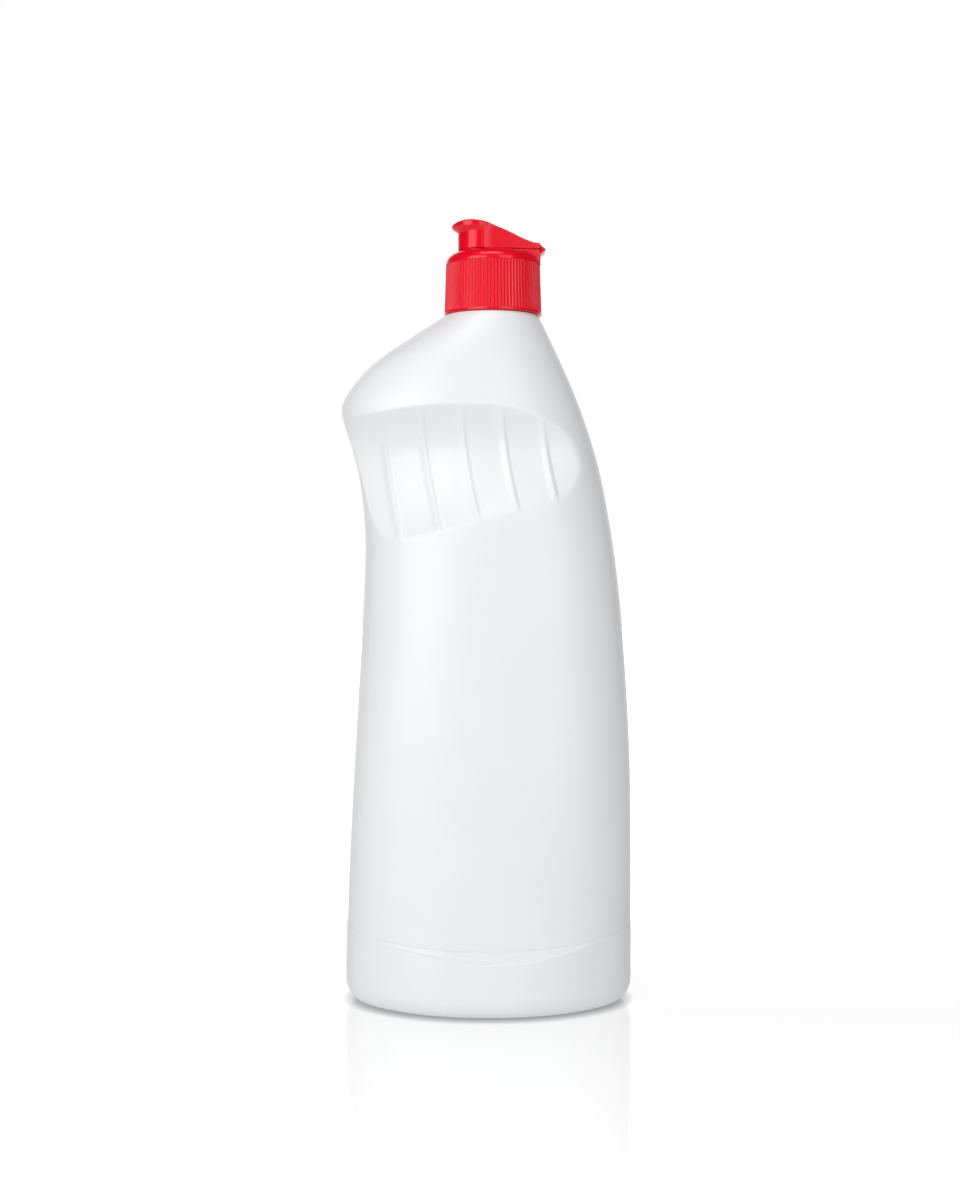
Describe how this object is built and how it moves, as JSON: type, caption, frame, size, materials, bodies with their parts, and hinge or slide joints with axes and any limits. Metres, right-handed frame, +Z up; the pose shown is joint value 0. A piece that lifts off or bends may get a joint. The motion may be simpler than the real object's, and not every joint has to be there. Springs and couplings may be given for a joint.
{
  "type": "detergent squeeze bottle",
  "caption": "Tall oval squeeze bottle for liquid detergent, with a finger grip scooped into both sides and a ribbed screw cap whose flip-up lid turns on a film hinge.",
  "frame": {"origin": "middle of the outline in plan, on the surface that the bottle stands on", "axes": "+Z up, +X from the front nose over the grip to the hinge side of the cap, +Y to the left-hand side of the bottle; the XZ plane is its plane of symmetry"},
  "size_m": [0.1009, 0.065, 0.2711],
  "materials": {
    "white_hdpe": "satin",
    "red_pp": "satin gloss",
    "white_foam": "matt"
  },
  "bodies": {
    "bottle": {"bottle": "white_hdpe"},
    "seal": {"sealing_ring": "white_foam"},
    "cap": {"cap_body": "red_pp"},
    "lid": {"flip_lid": "red_pp"}
  },
  "joints": [
    {"name": "cap_lift", "type": "slide", "parent": "bottle", "child": "seal", "axis": [0, 0, 1], "range_m": [0, 0.006]},
    {"name": "cap_turn", "type": "hinge", "parent": "seal", "child": "cap", "pos_m": [0.00245, 0, 0.25], "axis": [0, 0, 1], "range_deg": [0, 540]},
    {"name": "lid_flip", "type": "hinge", "parent": "cap", "child": "lid", "pos_m": [0.0203, 0, 0.26127], "axis": [0, 1, 0], "range_deg": [0, 135]}
  ],
  "couplings": [
    {"joint": "cap_lift", "follows": "cap_turn", "m_per_rad": 0.0006366}
  ]
}
